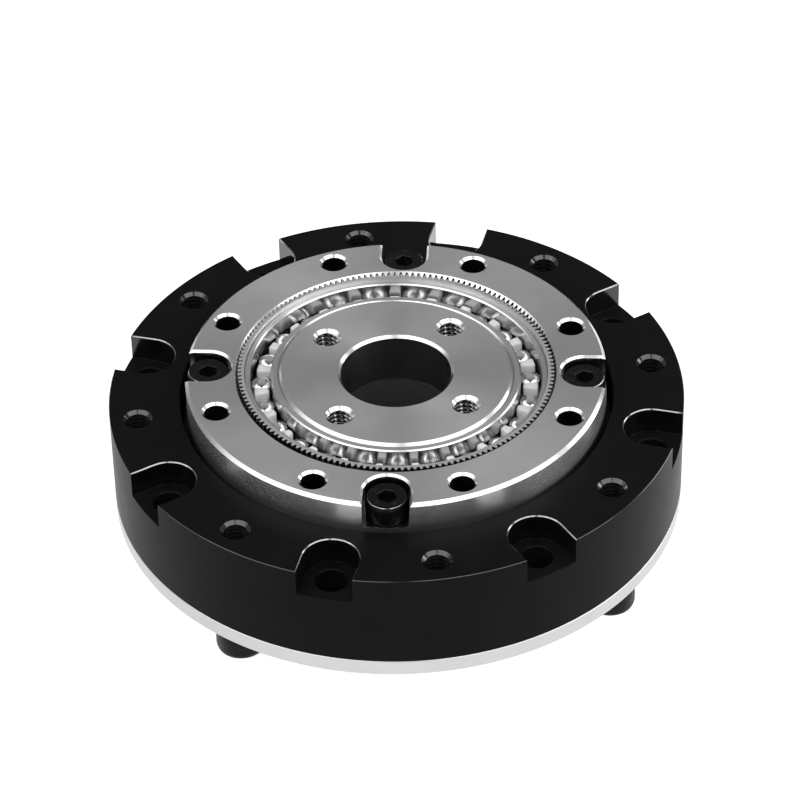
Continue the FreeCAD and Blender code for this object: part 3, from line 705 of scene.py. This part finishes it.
@dataclass
class HousingRing:
    """The black housing ring, with its notches, tapped holes and roller groove."""

    rim: NotchedRim = NotchedRim(26.0, 23.5, 2.5, math.pi / 8, 8)
    bore: float = 19.6
    bore_sides: int = 192
    base: float = 4.0
    top: float = 13.25
    edge: float = 0.05
    notch_edge: float = 0.09
    notch_floor: float = 10.75
    hole: float = 1.4
    hole_edge: float = 0.12
    groove: Triple = (7.5, 1.089, 19.5)
    tap: Tap = Tap(1.025, 1.25, 0.45, 1.33)
    plug_radius: float = 1.11
    plug_sides: int = 48
    plug_reach: Span = (15.0, 30.0)
    plug_turn: float = math.radians(78.75)

    def build(self) -> None:
        """The ring as one piece that rides on the housing."""
        skin = Skin(SATIN_BLACK, BLACK_EDGE, BLACK_WALL)
        steps = [
            (self.hole + self.hole_edge, self.notch_floor),
            (self.hole, self.notch_floor - self.hole_edge),
            (self.hole, self.base),
        ]
        black = (BLACK_WALL, BLACK_EDGE, SATIN_BLACK, BLACK_WALL, SATIN_BLACK)
        edges = (self.edge, self.notch_edge)
        crown, waist, hole_ends = skin.notched_wall(self.rim, self.top, edges, steps, black)
        bore = self.bore_wall(skin)
        ends = (self.top, self.base)
        centres = bolt_circle(self.rim.notch_circle, self.rim.count, 0.0)
        taps = [self.tap.hole(skin, centre, ends, BLACK_WALL, SATIN_BLACK) for centre in centres]
        skin.cap([crown, bore[0], *[t[0] for t in taps]])
        outline = plan(waist)
        heel = skin.ring(outline, self.base + self.edge)
        foot = skin.ring(inset(outline, [self.edge] * len(outline)), self.base)
        skin.strip(waist, heel)
        skin.strip(heel, foot, BLACK_EDGE)
        skin.cap([foot, bore[-1], *[t[-1] for t in taps], *hole_ends])
        ring = skin.piece("housing_ring")
        self.plug_hole(ring)
        seat(ring, "housing", "housing_black", "outer_ring")

    def bore_wall(self, skin: Skin) -> list[Ring]:
        """The bore with its groove.

        Args:
            skin: the ring's surface.

        Returns:
            The rings of the bore, from the top down.
        """
        height, reach, middle = self.groove
        lip = reach - (self.bore - middle)
        section = [
            (self.bore + self.edge, self.top),
            (self.bore, self.top - self.edge),
            (self.bore, height + lip),
            (middle + reach, height),
            (self.bore, height - lip),
            (self.bore, self.base),
        ]
        return skin.tower([(circle(r, self.bore_sides), z) for r, z in section])

    def plug_hole(self, ring: bpy.types.Object) -> None:
        """The hole in the side through which the rollers go in.

        Args:
            ring: the finished ring.
        """
        rod = Skin(BLACK_EDGE)
        outline = circle(self.plug_radius, self.plug_sides)
        for end in rod.tower([(outline, z) for z in self.plug_reach]):
            rod.cap([end])
        rod.move(Matrix.Rotation(math.pi / 2, 4, "Y"))
        lift = Matrix.Translation((0, 0, self.groove[0] * MM))
        rod.move(lift @ Matrix.Rotation(self.plug_turn, 4, "Z"))
        drill_through(ring, rod)


@dataclass
class OutputRing:
    """The toothed steel ring that carries the output, with its notches and bolt holes."""

    rim: NotchedRim = NotchedRim(19.0, 17.0, 2.1, math.radians(-11.2), 4, 44)
    base: float = 10.4
    top: float = 15.85
    edge: float = 0.29
    notch_edge: float = 0.2
    notch_floor: float = 13.25
    screw_hole: float = 1.3
    holes: int = 8
    hole: float = 1.1
    hole_edge: float = 0.24
    hole_sides: int = 48
    tooth_edge: float = 0.42
    teeth: Teeth = Teeth(162, 14.1152, 14.4496, 14.256, 0.0, WAVE_TURN + math.pi / 162)

    def build(self) -> None:
        """The ring as one piece that rides on the output."""
        skin = Skin(GROUND_STEEL, BRIGHT_CHAMFER, TURNED_STEEL_PAINTED_LIGHT, MILLED_STEEL_PAINTED_SHADE)
        steps = [(self.screw_hole, self.notch_floor), (self.screw_hole, self.base)]
        # The outer wall has painted light; the notch walls, floors and holes have painted shade
        steel = (BRIGHT_CHAMFER, BRIGHT_CHAMFER, TURNED_STEEL_PAINTED_LIGHT, MILLED_STEEL_PAINTED_SHADE, MILLED_STEEL_PAINTED_SHADE)
        edges = (self.edge, self.notch_edge)
        crown, waist, screw_ends = skin.notched_wall(self.rim, self.top, edges, steps, steel)
        tooth_rim, tooth_foot = self.toothed_bore(skin)
        first = self.rim.first + math.pi / self.holes
        centres = bolt_circle(self.rim.notch_circle, self.holes, first)
        holes = [self.bolt_hole(skin, centre) for centre in centres]
        skin.cap([crown, tooth_rim, *[h[0] for h in holes]])
        foot = skin.ring(plan(waist), self.base)
        skin.strip(waist, foot, TURNED_STEEL_PAINTED_LIGHT)
        skin.cap([foot, tooth_foot, *[h[-1] for h in holes], *screw_ends])
        seat(skin.piece("output_ring"), "output", "ground_steel", "circular_spline")

    def toothed_bore(self, skin: Skin) -> tuple[Ring, Ring]:
        """The teeth, with a bright cone across their upper ends.

        Args:
            skin: the ring's surface.

        Returns:
            The cone's rim in the upper face, and the teeth's outline in the lower one.
        """
        outline = self.teeth.loop()
        mouth = [polar(self.teeth.tip + self.tooth_edge, math.atan2(y, x)) for x, y in outline]
        at_tip = self.tooth_edge
        at_root = self.tooth_edge - (self.teeth.root - self.teeth.tip)
        rim = skin.ring(mouth, self.top)
        brow = skin.ring(outline, self.top, [at_root, at_tip, at_tip, at_root] * self.teeth.count)
        foot = skin.ring(outline, self.base)
        skin.strip(rim, brow, BRIGHT_CHAMFER)
        # Painted shade on the walls between the teeth
        skin.strip(brow, foot, MILLED_STEEL_PAINTED_SHADE)
        return rim, foot

    def bolt_hole(self, skin: Skin, centre: Point) -> list[Ring]:
        """A plain hole with a bright chamfer.

        Args:
            skin: the ring's surface.
            centre: the hole's axis.

        Returns:
            The rings of the hole, from the top down.
        """
        sizes = [
            (self.hole + self.hole_edge, self.top),
            (self.hole, self.top - self.hole_edge),
            (self.hole, self.base),
        ]
        levels = [(circle(r, self.hole_sides, centre), z) for r, z in sizes]
        return skin.tower(levels, [BRIGHT_CHAMFER, MILLED_STEEL_PAINTED_SHADE])


@dataclass(frozen=True)
class Race:
    """A thin bearing race that the wave bends, with a round groove for the balls.

    A groove depth above 0 is a groove in the inside of the race, and below 0 in its outside.
    """

    name: str
    body: str
    node: str
    land: float
    groove_depth: float
    back: float
    back_edge: float
    points: int
    ends: Span = (10.65, 15.45)
    land_edge: float = 0.12
    groove_radius: float = 1.23
    groove_steps: int = 12

    def build(self) -> None:
        """The race as one piece."""
        skin = Skin(BEARING_STEEL_PAINTED_SHADE, BRIGHT_CHAMFER, GROUND_STEEL)
        grooved = self.grooved_side()
        back = collar(self.back, math.copysign(self.back_edge, self.groove_depth), *self.ends)
        finishes = [BEARING_STEEL_PAINTED_SHADE] * (len(grooved) - 2) + [BRIGHT_CHAMFER, GROUND_STEEL]
        finishes += [BRIGHT_CHAMFER, BEARING_STEEL_PAINTED_SHADE, BRIGHT_CHAMFER]
        rings = skin.tower([(oval(r, self.points), z) for r, z in grooved + back], finishes)
        skin.strip(rings[-1], rings[0], GROUND_STEEL)
        seat(skin.piece(self.name), self.body, "bearing_steel", self.node)

    def grooved_side(self) -> list[Point]:
        """The section of the side with the groove.

        Returns:
            Radius and height of each point, from the lower end up.
        """
        low, high = self.ends
        side = math.copysign(1.0, self.groove_depth)
        half = math.acos((self.groove_radius - abs(self.groove_depth)) / self.groove_radius)
        bottom = self.land + self.groove_depth
        section = [(self.land + side * self.land_edge, low), (self.land, low + self.land_edge)]
        for i in range(self.groove_steps + 1):
            angle = half * (2 * i / self.groove_steps - 1)
            reach = bottom - side * self.groove_radius * (1 - math.cos(angle))
            section.append((reach, (low + high) / 2 + self.groove_radius * math.sin(angle)))
        return section + [(self.land, high - self.land_edge), (self.land + side * self.land_edge, high)]


@dataclass
class Hat:
    """The thin steel hat: flange, diaphragm, tube and an oval rim with teeth, and the race inside it."""

    radius: float = 26.0
    flange: Span = (2.5, 4.0)
    flange_inner: float = 20.3
    edge: float = 0.05
    circle: float = 23.5
    bolts: int = 8
    hole: float = 1.4
    stud_hole: float = 1.6
    diaphragm: Span = (3.0, 3.35)
    bore: float = 13.66
    wall: float = 0.2
    root: float = 0.5
    root_bend: Span = (0.12, 0.2)
    oval_base: float = 10.35
    rim: Span = (10.8, 15.8)
    teeth: Teeth = Teeth(160, 14.2208, 13.8864, 14.08, WAVE_HEIGHT, WAVE_TURN)
    race: Race = Race("outer_race", "housing", "bearing_outer_race", 13.10, 0.27, 13.65, 0.12, 320)
    points: int = 320

    def build(self) -> None:
        """The hat and the outer race, which both stay with the housing."""
        skin = Skin(BRIGHT_TURNED, MILLED_STEEL_PAINTED_SHADE, FLANGE_STEEL_PAINTED_SHADE)
        low, high = self.flange
        section = collar(self.radius, self.edge, low, high)
        levels = [(circle(r, self.points), z) for r, z in section]
        # Painted shade on the flange's side
        outline = skin.tower(levels, [FLANGE_STEEL_PAINTED_SHADE] * len(section))
        holes = self.flange_holes(skin)
        upper, lower = self.walls(skin)
        skin.cap([outline[0], upper[0], *[h[0] for h in holes]])
        skin.cap([outline[-1], lower[0], *[h[1] for h in holes]])
        # Painted shade on the walls of the hat's teeth
        toothed = skin.tower([(self.teeth.loop(), z) for z in self.rim], [MILLED_STEEL_PAINTED_SHADE])
        skin.cap([toothed[0], upper[-1]])
        skin.cap([toothed[1], lower[-1]])
        seat(skin.piece("steel_hat"), "housing", "bright_steel", "flexspline")
        self.race.build()

    def walls(self, skin: Skin) -> tuple[list[Ring], list[Ring]]:
        """The two sides of the diaphragm and the tube, from the flange to the toothed rim.

        Args:
            skin: the hat's surface.

        Returns:
            The rings of the upper and outer side, and of the lower and inner side.
        """
        low, high = self.flange
        under, over = self.diaphragm
        tube = self.bore + self.wall
        bend, rise = self.root_bend
        outside = [
            (self.flange_inner, high),
            (self.flange_inner, over),
            (tube + self.root, over),
            (tube + bend, over + rise),
            (tube, over + self.root),
        ]
        inside = [(self.flange_inner, low), (self.flange_inner, under), (self.bore, under)]
        sides = ((outside, tube, self.rim[0]), (inside, self.bore, self.rim[1]))
        upper, lower = (
            skin.tower(
                [(circle(r, self.points), z) for r, z in section]
                + [(oval(radius, self.points), z) for z in (self.oval_base, end)]
            )
            for section, radius, end in sides
        )
        return upper, lower

    def flange_holes(self, skin: Skin) -> list[list[Ring]]:
        """Bolt holes, and wider holes for the studs at every second tap.

        Args:
            skin: the hat's surface.

        Returns:
            The upper and the lower rim of each hole.
        """
        low, high = self.flange
        step = FULL_TURN / self.bolts
        found = []
        sizes = ((self.hole, self.bolts, step / 2), (self.stud_hole, self.bolts // 2, step))
        for radius, count, first in sizes:
            for centre in bolt_circle(self.circle, count, first):
                found.append(skin.tower([(circle(radius, HOLE_SIDES, centre), z) for z in (high, low)]))
        return found


@dataclass
class WaveGenerator:
    """The oval plug with its bore and tapped holes, and the inner race on it."""

    radius: float = 10.546
    base: float = 10.5
    top: float = 15.6
    edge: float = 0.25
    bore: float = 5.0
    bore_sides: int = 128
    tap_circle: float = 8.0
    taps: int = 4
    tap: Tap = Tap(1.025, 1.25, 0.45, 1.32, 56, 14)
    race: Race = Race(
        "inner_race", "wave_generator", "bearing_inner_race", 11.236, -0.27, 10.546, 0.13, 288
    )
    points: int = 288

    def build(self) -> None:
        """The plug and its race, which turn with the input shaft."""
        skin = Skin(GROUND_STEEL, BRIGHT_CHAMFER, TURNED_STEEL_PAINTED_LIGHT, THREAD_STEEL_PAINTED_SHADE, BORED_STEEL_PAINTED_SHADE)
        section = collar(self.radius, self.edge, self.base, self.top)
        # Painted light on the plug's outer wall
        around = [BRIGHT_CHAMFER, TURNED_STEEL_PAINTED_LIGHT, BRIGHT_CHAMFER]
        rim = skin.tower([(oval(r, self.points), z) for r, z in section], around)
        section = collar(self.bore, -self.edge, self.base, self.top)
        # Painted shade on the bore's wall
        within = [BRIGHT_CHAMFER, BORED_STEEL_PAINTED_SHADE, BRIGHT_CHAMFER]
        bore = skin.tower([(circle(r, self.bore_sides), z) for r, z in section], within)
        centres = bolt_circle(self.tap_circle, self.taps, WAVE_TURN)
        ends = (self.top, self.base)
        # Painted shade on the threads
        taps = [self.tap.hole(skin, centre, ends, BRIGHT_CHAMFER, THREAD_STEEL_PAINTED_SHADE) for centre in centres]
        skin.cap([rim[0], bore[0], *[t[0] for t in taps]])
        skin.cap([rim[-1], bore[-1], *[t[-1] for t in taps]])
        seat(skin.piece("wave_plug_steel"), "wave_generator", "ground_steel", "wave_plug")
        self.race.build()


@dataclass
class BallSet:
    """The moulded comb and the balls between its fingers."""

    balls: int = 23
    ball_radius: float = 1.19
    ball_circle: float = 12.168
    ball_fineness: int = 4
    plane: float = 13.05
    turn: float = math.radians(-82.4)
    play: float = 0.04
    inner: float = 11.482
    outer: float = 12.854
    base: float = 11.02
    floor: float = 11.82
    top: float = 14.3
    round_off: float = 0.18
    round_steps: int = 3
    round_from: float = math.radians(40)

    def build(self) -> None:
        """The comb, then each ball."""
        self.comb()
        for i in range(self.balls):
            self.ball(i)

    def comb(self) -> None:
        """A ring with a finger between each two balls, as one closed piece."""
        skin = Skin(NYLON)
        step = FULL_TURN / self.balls
        fingers = [self.finger(skin, self.turn + step * (k + 0.5), step) for k in range(self.balls)]
        # Inner base, outer base, outer floor and inner floor
        section = (0, 3, 4, 1)
        for k, (_, here) in enumerate(fingers):
            after = fingers[(k + 1) % self.balls][0]
            for i, j in zip(section, section[1:] + section[:1]):
                skin.face((here[i], here[j], after[j], after[i]))
        comb = skin.piece("ball_comb")
        soft = comb.modifiers.new("rounded_edges", "BEVEL")
        soft.width, soft.segments = self.round_off * MM, self.round_steps
        soft.limit_method, soft.angle_limit = "ANGLE", self.round_from
        seat(comb, "ball_set", "nylon_white", "ball_cage")

    def finger(self, skin: Skin, middle: float, step: float) -> tuple[Ring, Ring]:
        """One finger on its stretch of the ring.

        Args:
            skin: the comb's surface.
            middle: angle of the finger.
            step: angle from finger to finger.

        Returns:
            The corners at each side of the finger: the three inner ones from the base up, and then
            the three outer ones.
        """
        sides = []
        for side in (-1, 1):
            corners = []
            for radius in (self.inner, self.outer):
                half = step / 2 - math.asin((self.ball_radius + self.play) / radius)
                x, y = polar(radius, middle + side * half)
                for height in (self.base, self.floor, self.top):
                    corners.append(skin.mesh.verts.new((x * MM, y * MM, height * MM)))
            sides.append(corners)
        left, right = sides
        # Faces from side to side, by the corners they join, and then the two sides
        for i, j in ((0, 3), (3, 4), (0, 1), (4, 5), (1, 2), (5, 2)):
            skin.face((left[i], left[j], right[j], right[i]))
        for corners in sides:
            skin.face([corners[i] for i in (4, 1, 2, 5)])
        return left, right

    def ball(self, index: int) -> None:
        """One polished ball, as far out as the wave puts it.

        Args:
            index: number of the ball, from 0.
        """
        skin = Skin(BALL_STEEL)
        angle = self.turn + FULL_TURN * index / self.balls
        x, y = polar(self.ball_circle + WAVE_HEIGHT * math.cos(2 * (angle - WAVE_TURN)), angle)
        radius = self.ball_radius * MM
        bmesh.ops.create_icosphere(skin.mesh, subdivisions=self.ball_fineness, radius=radius)
        for face in skin.mesh.faces:
            face.smooth = True
        skin.move(Matrix.Translation((x * MM, y * MM, self.plane * MM)))
        number = f"{index + 1:02d}"
        seat(skin.piece(f"steel_ball_{number}"), "ball_set", "ball_steel", f"ball_{number}")


@dataclass
class CapScrews:
    """A circle of socket head cap screws of one size."""

    name: str
    node: str
    body: str
    head: float
    height: float
    stem: float
    length: float
    hexagon: float
    socket: float
    circle: float
    count: int
    first: float
    seat_height: float
    upright: bool
    ridges: int = 44
    ridge_height: float = 0.05
    smooth_band: float = 0.04
    stem_edge: float = 0.25
    head_edge: float = 0.12
    head_base: Span = (0.1, 0.22)
    head_top: Span = (0.42, 0.3)
    crown_edge: Span = (0.18, 0.06)
    socket_edge: float = 0.09

    def build(self) -> None:
        """All the screws as one group."""
        skin = Skin(BLACK_OXIDE, BLACK_EDGE)
        flip = Matrix.Identity(4) if self.upright else Matrix.Rotation(math.pi, 4, "X")
        for x, y in bolt_circle(self.circle, self.count, self.first):
            before = len(skin.mesh.verts)
            self.screw(skin)
            skin.move(Matrix.Translation((x * MM, y * MM, self.seat_height * MM)) @ flip, before)
        seat(skin.piece(self.name), self.body, "screw_black", self.node)

    def screw(self, skin: Skin) -> None:
        """One screw that stands on its seat: knurled head above, stem below, hexagon in the top.

        Args:
            skin: the group's surface.
        """
        n = self.ridges * 2
        knurl = [polar(self.head - i % 2 * self.ridge_height, FULL_TURN * i / n) for i in range(n)]
        smooth = circle(self.head - self.smooth_band, n)
        eased = circle(self.head - self.head_edge, n)
        stem = circle(self.stem, n)
        crown = self.height
        levels = [
            (circle(self.stem - self.stem_edge, n), -self.length),
            (stem, -self.length + self.stem_edge),
            (stem, 0.0),
            (eased, 0.0),
            (smooth, self.head_base[0]),
            (knurl, self.head_base[1]),
            (knurl, crown - self.head_top[0]),
            (smooth, crown - self.head_top[1]),
            (eased, crown - self.crown_edge[1]),
            (circle(self.head - self.crown_edge[0], n), crown),
        ]
        outside = skin.tower(levels, [BLACK_OXIDE] * (len(levels) - 2) + [BLACK_EDGE])
        across = self.hexagon / 2 / math.cos(math.pi / 6)
        wide, corners = (circle(r, 6, turn=math.pi / 6) for r in (across + self.socket_edge, across))
        steps = [(wide, crown), (corners, crown - self.socket_edge), (corners, crown - self.socket)]
        well = skin.tower(steps)
        skin.cap([outside[0]])
        skin.cap([outside[-1], well[0]])
        skin.cap([well[-1]])


@dataclass
class HiddenBearing:
    """The solids of the crossed roller bearing, which keep their CAD shape."""

    finishes: tuple[tuple[str, Finish], ...] = (
        ("inner_ring", BLACK_OXIDE),
        ("rollers_leaning_in", BALL_STEEL),
        ("rollers_leaning_out", BALL_STEEL),
        ("roller_spacers", NYLON),
        ("loading_plug", SATIN_BLACK),
        ("plug_pin", BEARING_STEEL_PAINTED_SHADE),
    )

    def build(self) -> None:
        """Give each solid its finish."""
        for name, finish in self.finishes:
            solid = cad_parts[name]
            if not solid.material_slots:
                solid.data.materials.append(finish.material())
            for holder in solid.material_slots:
                holder.material = finish.material()
            LOG.info("%s keeps its solid, in %s", name, finish.name)


# Studio


def heading(bearing: float, height: float) -> Vector:
    """The direction at a bearing round the vertical axis and a height above the floor, in radians."""
    flat = math.cos(height)
    return Vector((flat * math.cos(bearing), flat * math.sin(bearing), math.sin(height)))


@dataclass(frozen=True)
class SoftBox:
    """A rectangular lamp that points at the gearbox, at a bearing to the right of the camera."""

    name: str
    bearing: float
    height: float
    away: float
    size: Span
    glare: float

    def build(self, target: Vector, stand: float) -> None:
        """Hang the lamp and turn it to a target.

        Args:
            target: what it lights.
            stand: bearing of the camera.
        """
        lamp = bpy.data.lights.new(self.name, "AREA")
        lamp.shape, lamp.size, lamp.size_y = "RECTANGLE", *self.size
        lamp.energy = self.glare * math.pi * self.size[0] * self.size[1]
        holder = bpy.data.objects.new(self.name, lamp)
        out = heading(stand + math.radians(self.bearing), math.radians(self.height))
        holder.location = target + out * self.away
        holder.rotation_euler = (-out).to_track_quat("-Z", "Y").to_euler()
        bpy.context.scene.collection.objects.link(holder)


@dataclass
class Studio:
    """A pale floor, soft light and the camera."""

    target: Triple = (0.0, 0.0, 15.85 * MM)
    distance: float = 0.34107
    elevation: float = math.radians(38.44)
    stand: float = math.radians(-97.77)
    roll: float = math.radians(1.327)
    lens: float = 170.4
    sensor: float = 36.0
    clip: Span = (0.01, 20.0)
    shift: Span = (4.25 / PICTURE_WIDTH, -31.75 / PICTURE_WIDTH)
    sky: Span = (0.36, 0.13)
    sky_turn: Span = (-0.4, 0.5)
    floor_radius: float = 4000.0
    floor_sides: int = 96
    floor_roughness: float = 0.9
    floor_specular: float = 0.1
    glow: float = 0.72
    pale: float = 0.62
    # Painted shade on the floor: its tone near the axis, and the radii over which it fades to pale
    painted_shade_tone: float = 0.13
    painted_shade_span: Span = (20 * MM, 23 * MM)
    lamps: tuple[SoftBox, ...] = (
        SoftBox("right", 52.0, 45.0, 0.85, (1.0, 0.5), 2.8),
        SoftBox("right_back", 90.0, 12.0, 0.95, (1.1, 0.36), 4.6),
        SoftBox("left", -46.0, 43.0, 0.85, (0.9, 0.5), 2.6),
        SoftBox("left_back", -102.0, 36.0, 0.95, (0.7, 0.4), 1.5),
    )

    def build(self) -> None:
        """Set the stage."""
        self.camera()
        self.floor()
        self.light()
        bpy.context.scene.view_settings.view_transform = "Standard"

    def camera(self) -> None:
        """The camera at the photograph's place, with a long lens."""
        lens = bpy.data.cameras.new("camera")
        lens.lens, lens.sensor_width = self.lens, self.sensor
        lens.shift_x, lens.shift_y = self.shift
        lens.clip_start, lens.clip_end = self.clip
        lens.dof.use_dof = False
        eye = bpy.data.objects.new("camera", lens)
        away = heading(self.stand, self.elevation)
        eye.location = Vector(self.target) + away * self.distance
        look = (-away).to_track_quat("-Z", "Y").to_matrix() @ Matrix.Rotation(-self.roll, 3, "Z")
        eye.rotation_euler = look.to_euler()
        bpy.context.scene.collection.objects.link(eye)
        bpy.context.scene.camera = eye

    def floor(self) -> None:
        """A wide pale floor, white to the camera and in reflections, with painted shade below the bore,
        where it has a low tone and no glow.
        """
        skin = Skin()
        skin.cap([skin.ring(circle(self.floor_radius, self.floor_sides), 0.0)])
        ground = skin.piece("floor")
        paint = bpy.data.materials.new("pale_floor")
        paint.use_nodes = True
        nodes = Nodes(paint.node_tree)
        place = nodes.add("TexCoord", {}, "Object")
        reach = nodes.add("VectorMath", {0: place}, "Value", operation="LENGTH")
        start, end = self.painted_shade_span
        span = {"Value": reach, "From Min": start, "From Max": end}
        # Painted shade mask: 0 near the axis, where the floor takes the low tone and does not glow, 1
        # beyond
        outside_painted_shade = nodes.add("MapRange", span, interpolation_type="SMOOTHSTEP")
        tone = nodes.add("MapRange", {"Value": outside_painted_shade, "To Min": self.painted_shade_tone, "To Max": self.pale})
        seen = nodes.add("LightPath", {}, "Is Camera Ray")
        rays = seen.node.outputs
        for ray in ("Is Glossy Ray", "Is Transmission Ray"):
            seen = nodes.add("Math", {0: seen, 1: rays[ray]}, operation="MAXIMUM")
        glow = nodes.add("Math", {0: seen, 1: self.glow}, operation="MULTIPLY")
        inputs = {
            "Base Color": tone,
            "Roughness": self.floor_roughness,
            "Specular IOR Level": self.floor_specular,
            "Emission Color": (1, 1, 1, 1),
            "Emission Strength": nodes.add("Math", {0: glow, 1: outside_painted_shade}, operation="MULTIPLY"),
        }
        nodes.fill(nodes.tree.nodes["Principled BSDF"], inputs)
        ground.data.materials.append(paint)

    def light(self) -> None:
        """Soft boxes, and a sky that is dimmer on the camera's side."""
        world = bpy.data.worlds.new("sky")
        world.use_nodes = True
        nodes = Nodes(world.node_tree)
        view = {0: nodes.add("TexCoord", {}, "Generated"), 1: heading(self.stand, 0.0)}
        span = {
            "Value": nodes.add("VectorMath", view, "Value", operation="DOT_PRODUCT"),
            "From Min": self.sky_turn[0],
            "From Max": self.sky_turn[1],
            "To Min": self.sky[0],
            "To Max": self.sky[1],
        }
        level = nodes.add("MapRange", span, interpolation_type="SMOOTHSTEP")
        nodes.fill(nodes.tree.nodes["Background"], {"Color": (1, 1, 1, 1), "Strength": level})
        bpy.context.scene.world = world
        for lamp in self.lamps:
            lamp.build(Vector(self.target), self.stand)


def main() -> None:
    """Build the gearbox, dress it and light it."""
    logging.basicConfig(level=logging.INFO, format="%(name)s: %(message)s")
    output_screws = CapScrews(
        "output_screws", "spline_screws", "output",
        head=1.9, height=2.0, stem=0.78, length=6.0, hexagon=1.5, socket=1.0,
        circle=17.0, count=4, first=OutputRing.rim.first, seat_height=13.25, upright=True,
    )
    flange_screws = CapScrews(
        "flange_cap_screws", "flange_screws", "housing",
        head=2.25, height=2.5, stem=1.005, length=6.0, hexagon=2.0, socket=1.3,
        circle=23.5, count=4, first=math.pi / 4, seat_height=2.5, upright=False,
    )
    gears = (HousingRing(), OutputRing(), Hat(), WaveGenerator(), BallSet())
    for part in (*gears, output_screws, flange_screws, HiddenBearing(), Studio()):
        part.build()


if __name__ == "__main__":
    main()
